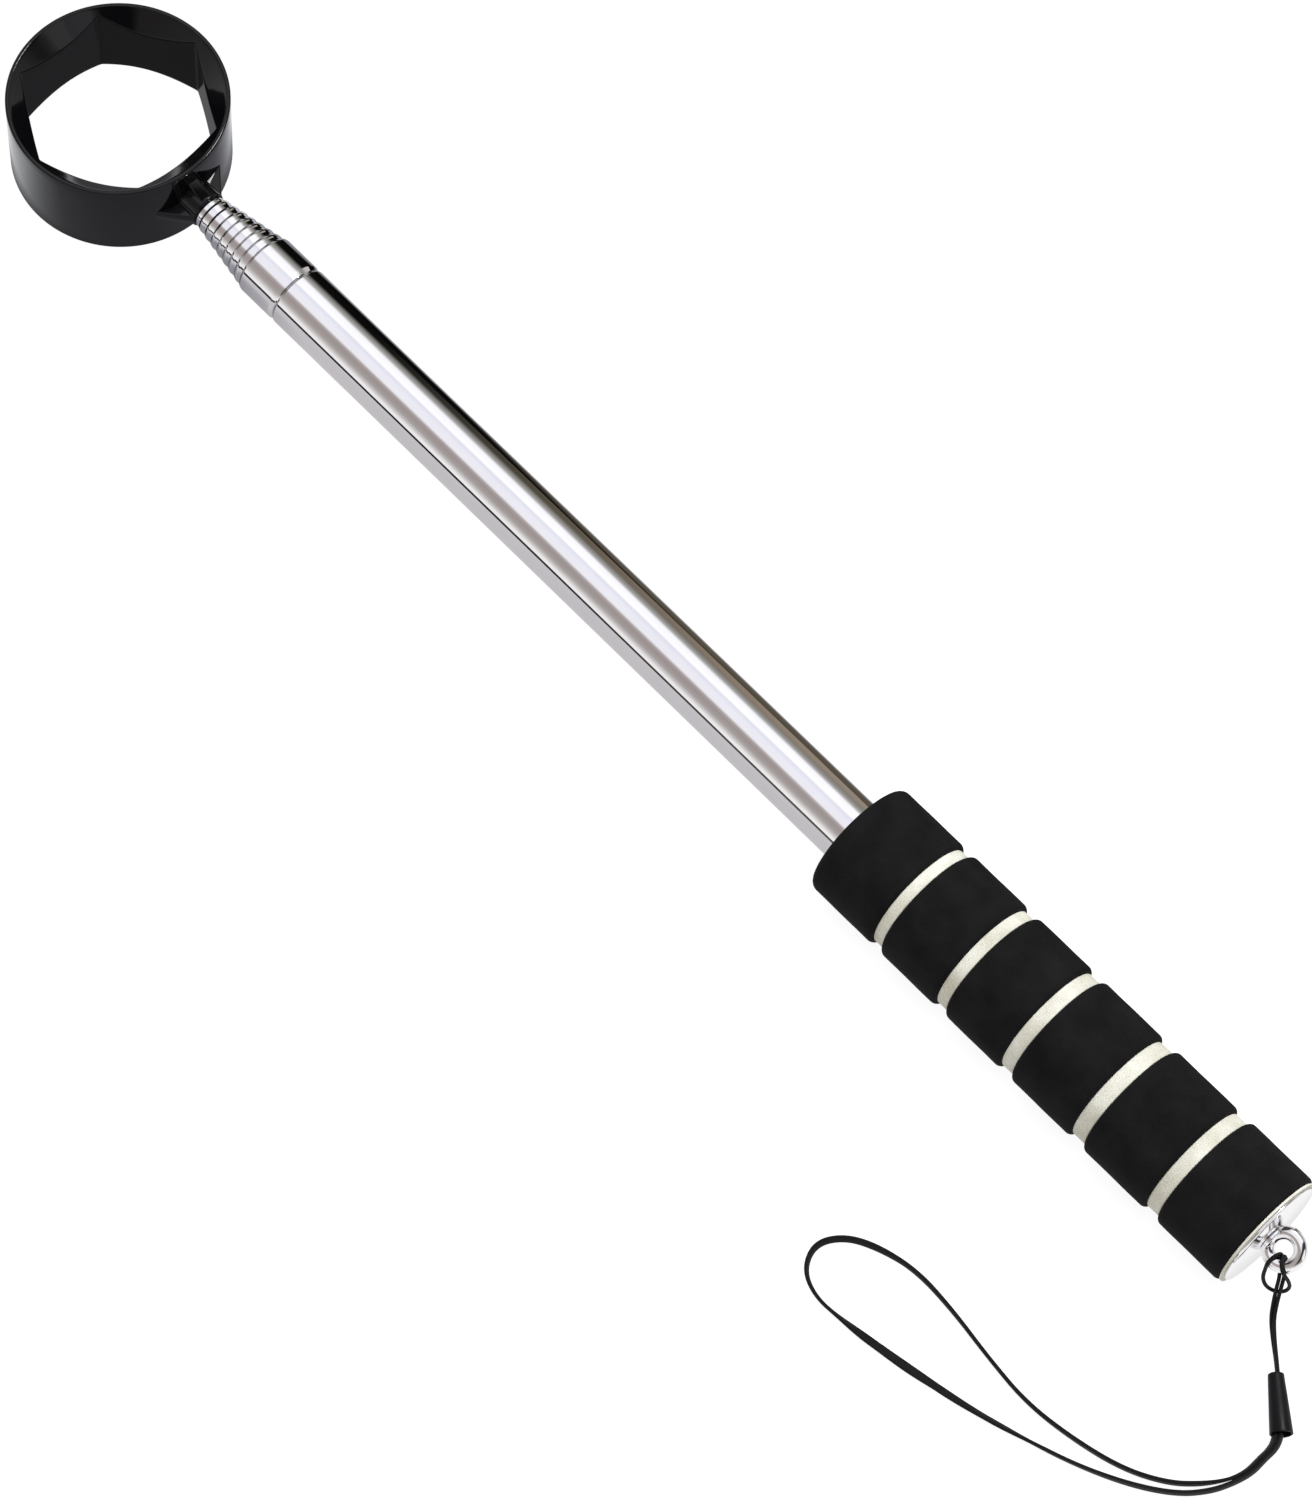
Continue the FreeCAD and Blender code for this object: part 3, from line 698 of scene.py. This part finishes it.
def strap_crimp():
    """Tapered cap, closed round the cord at its narrow end and open for the lace at the other."""
    narrow, wide = Vector((-219.9, 17.3, 1.6)), Vector((-230.4, 26.7, 2.35))
    flattening = 1.13
    length = (wide - narrow).length
    corners = [
        (0.0, 0.02, 0), (0.35, 0.55, 0.2), (0.0, 0.95, 0.25), (0.0, 1.6, 0.5), (1.3, 1.66, 0.3),
        (length, 2.35, 0.12), (length, 1.98, 0.1), (length - 1.4, 1.9, 0.1), (length - 1.4, 0.02, 0),
    ]
    vertices, faces = turned_mesh(split_long(softened(corners), 1.0), 72)
    place = Matrix.Translation(narrow) @ (wide - narrow).to_track_quat("X", "Z").to_matrix().to_4x4()
    vertices = [place @ Vector((v.x, v.y * flattening, v.z)) * MM for v in vertices]
    crimp = new_piece("strap_crimp_piece", vertices, faces, CRIMP_PLASTIC, 45)
    return stands_for(crimp, "strap_crimp", "handle")


def strap():
    crimp = strap_crimp()
    line = smooth_line("hitch_line", HITCH_ROUTE, 12)
    hitch, reach = swept("hitch_cord_piece", line, 0.9 * MM, 0.9 * MM, CORD)
    stands_for(hitch, "hitch_cord", "handle")

    line = smooth_line("lace_line", LACE_ROUTE, 14)
    lace, reach = swept("wrist_lace_piece", line, 2.15 * MM, 0.85 * MM, LACE, lace_turn, 28, 0.6)
    stands_for(lace, "wrist_lace", "handle")


def inner_pieces():
    """CAD nodes that keep their own shape."""
    for node, obj in frame["nodes"].items():
        material = NYLON if node.endswith("_bush") else INNER_MATERIALS.get(node)
        if material is not None:
            obj.data.materials.clear()
            obj.data.materials.append(material)


# ---------------------------------------------------------------- studio

def world():
    """What the chrome mirrors: bright overhead, grey to one side and dark to the other.

    The bands run along the rod, X. The camera sees plain white behind the object.
    """
    made = bpy.data.worlds.new("studio")
    made.use_nodes = True
    sky = Nodes(made.node_tree)
    background = sky.tree.nodes["Background"]
    x, y, z = sky.parts(sky.node("ShaderNodeTexCoord").outputs["Generated"])

    def share(degrees):
        return (degrees + 180) / 360

    turn = sky.between(sky.math("ARCTAN2", y, z), 0.0, 1.0, -math.pi, math.pi)      # about X, from overhead
    bands = [                       # (degrees about X from overhead, colour)
        (-73, (0.03, 0.028, 0.025)), (-66, (0.19, 0.185, 0.165)), (-50, (0.37, 0.36, 0.34)),
        (-44, (0.58, 0.57, 0.56)), (-37, (1.1, 1.1, 1.12)), (-14, (1.2, 1.2, 1.24)), (-6, (0.88, 0.89, 0.97)),
        (6, (0.98, 0.98, 1.06)), (26, (1.0, 0.99, 1.03)), (34, (0.46, 0.41, 0.40)), (44, (0.38, 0.335, 0.32)),
        (60, (0.44, 0.40, 0.385)), (70, (0.64, 0.61, 0.6)), (80, (0.95, 0.93, 0.91)),
        (89, (1.05, 1.03, 1.03)), (90.5, (0.05, 0.045, 0.045)),
    ]
    around = sky.ramp(turn, *[(share(degrees), color) for degrees, color in bands])
    dark_side = sky.ramp(
        x, (0.14, (0.62, 0.6, 0.58)), (0.22, (0.36, 0.31, 0.25)), (0.27, (0.30, 0.24, 0.18)),
        (0.30, (0.20, 0.16, 0.12)), (0.32, (0.10, 0.085, 0.06)), (0.345, (0.03, 0.03, 0.024)),
        (0.36, (0.003, 0.003, 0.003)), (0.44, (0.006, 0.006, 0.005)), (0.53, (0.62, 0.61, 0.6)))
    sides = sky.mix(sky.between(turn, 0.0, 1.0, share(-72), share(-56)), dark_side, around)
    ends = sky.ramp(
        sky.between(x, 0.0, 1.0, -1.0, 1.0),
        (0.0, (0.9, 0.9, 0.9)), (0.1, (0.9, 0.9, 0.9)), (0.13, (0.04, 0.04, 0.04)),
        (0.26, (0.05, 0.05, 0.05)), (0.31, (1, 1, 1)), (0.735, (1, 1, 1)), (0.765, (0.2, 0.2, 0.2)),
        (0.81, (0.3, 0.3, 0.3)), (0.83, (0.6, 0.6, 0.6)), (1.0, (0.6, 0.6, 0.6)))
    high = sky.between(z, 0.0, 1.0, 0.3, 0.45)
    sky.feed(background, Color=sky.mix(high, sides, ends, "MULTIPLY"))

    plain = sky.feed(sky.node("ShaderNodeBackground"), Color=(1, 1, 1, 1)).outputs[0]
    seen = sky.node("ShaderNodeLightPath").outputs["Is Camera Ray"]
    sky.feed(sky.tree.nodes["World Output"], Surface=sky.choose(seen, background.outputs[0], plain))
    bpy.context.scene.world = made


def floor_glow(shader, place, from_ring, ring_distance):
    """What the chrome and the ring mirror of the floor: bands along and across, and a patch by the ring."""
    x, y, _ = shader.parts(place)
    across = shader.ramp(
        shader.between(y, 0.0, 1.0, -0.3, 0.3),
        (0.43, (0.0, 0.0, 0.0)), (0.47, (0.60, 0.58, 0.59)), (0.73, (0.67, 0.65, 0.67)),
        (0.76, (0.01, 0.01, 0.01)))
    along = shader.ramp(
        shader.between(x, 0.0, 1.0, -0.4, 0.4),
        (0.18, (1.05, 1.05, 1.06)), (0.245, (1.0, 1.0, 1.01)), (0.275, (0.12, 0.10, 0.075)),
        (0.55, (0.10, 0.085, 0.06)), (0.61, (0.003, 0.003, 0.003)))
    toward_butt = shader.vectors("DOT_PRODUCT", from_ring, (-0.97, 0.41, 0.0))["Value"]
    outside = shader.ramp(
        shader.between(toward_butt, 0.0, 1.0, -0.03, 0.05),
        (0.35, (0.95, 0.97, 1.0)), (0.62, (0.36, 0.36, 0.40)), (0.9, (0.28, 0.28, 0.31)))
    beyond_wall = shader.between(ring_distance, 0.0, 1.0, 0.0268, 0.030)
    by_ring = shader.mix(beyond_wall, (0.16, 0.16, 0.17, 1.0), outside)
    by_tubes = shader.mix(1.0, across, along, "LIGHTEN")
    return shader.mix(shader.between(ring_distance, 1.0, 0.0, 0.042, 0.07), by_tubes, by_ring)


def floor():
    """A plain pale floor. Only reflections see the glow's bands on it."""
    half = 3.0
    mesh = bpy.data.meshes.new("floor")
    corners = [(-half, -half, 0), (half, -half, 0), (half, half, 0), (-half, half, 0)]
    mesh.from_pydata(corners, [], [(0, 1, 2, 3)])
    plane = bpy.data.objects.new("floor", mesh)
    bpy.context.scene.collection.objects.link(plane)
    plane.location.z = -0.05 * MM

    shader = Shader("floor", Base_Color=(0.34, 0.34, 0.34, 1), Roughness=0.9, Specular_IOR_Level=0.0)
    path = shader.node("ShaderNodeLightPath").outputs
    seen, mirrored = path["Is Camera Ray"], path["Is Glossy Ray"]
    shader.set(Emission_Color=(1, 1, 1, 1), Emission_Strength=shader.between(seen, 0.25, 0.86))
    place = shader.node("ShaderNodeNewGeometry").outputs["Position"]
    from_ring = shader.vectors("SUBTRACT", place, (RING_X * MM, 0.0, 0.0))["Vector"]
    ring_distance = shader.vectors("LENGTH", from_ring)["Value"]
    color = floor_glow(shader, place, from_ring, ring_distance)
    glow = shader.feed(shader.node("ShaderNodeEmission"), Color=color).outputs[0]
    solid = shader.choose(mirrored, shader.out.outputs[0], glow)

    # The turned ring reaches below the floor, so the floor round it is clear and doesn't hide it.
    near_ring = shader.between(ring_distance, 1.0, 0.0, 0.062, 0.085)
    clear = shader.node("ShaderNodeBsdfTransparent").outputs[0]
    surface = shader.choose(shader.math("MULTIPLY", seen, near_ring), solid, clear)
    shader.feed(shader.tree.nodes["Material Output"], Surface=surface)
    mesh.materials.append(shader.material)


def area_light(name, place, size, watts, glossy):
    light = bpy.data.lights.new(name, "AREA")
    light.shape = "SQUARE"
    light.size = size
    light.energy = watts
    lamp = bpy.data.objects.new(name, light)
    lamp.location = place
    lamp.rotation_euler = (-Vector(place)).to_track_quat("-Z", "Y").to_euler()
    lamp.visible_glossy = glossy
    bpy.context.scene.collection.objects.link(lamp)


def lights():
    """Soft light from overhead, and a small key that gives the gloss its highlights."""
    area_light("overhead", (-0.1, 0.1, 1.6), 2.4, 12, False)
    area_light("key", (0.1, -0.8, 1.4), 0.26, 10, True)


def camera():
    """High over the butt end, looking down along the rod."""
    place = Vector((-0.36440, 0.42336, 1.13151))
    azimuth, elevation, roll = math.radians(-49.860), math.radians(-64.635), math.radians(6.915)
    data = bpy.data.cameras.new("camera")
    data.lens = 130.74
    data.sensor_width = 36.0
    data.clip_start = 0.05
    data.clip_end = 20.0
    ahead = Vector((math.cos(azimuth), math.sin(azimuth), math.tan(elevation))).normalized()
    level = ahead.cross(Vector((0, 0, 1))).normalized()
    upright = level.cross(ahead)
    right = level * math.cos(roll) + upright * math.sin(roll)
    up = upright * math.cos(roll) - level * math.sin(roll)
    holder = bpy.data.objects.new("camera", data)
    holder.matrix_world = Matrix.Translation(place) @ Matrix((right, up, -ahead)).transposed().to_4x4()
    bpy.context.scene.collection.objects.link(holder)
    bpy.context.scene.camera = holder


camera()
strap()
grip()
tubes()
ball_ring()
butt_cap()
screw_eye()
inner_pieces()
world()
floor()
lights()
bpy.context.scene.view_settings.view_transform = "Standard"
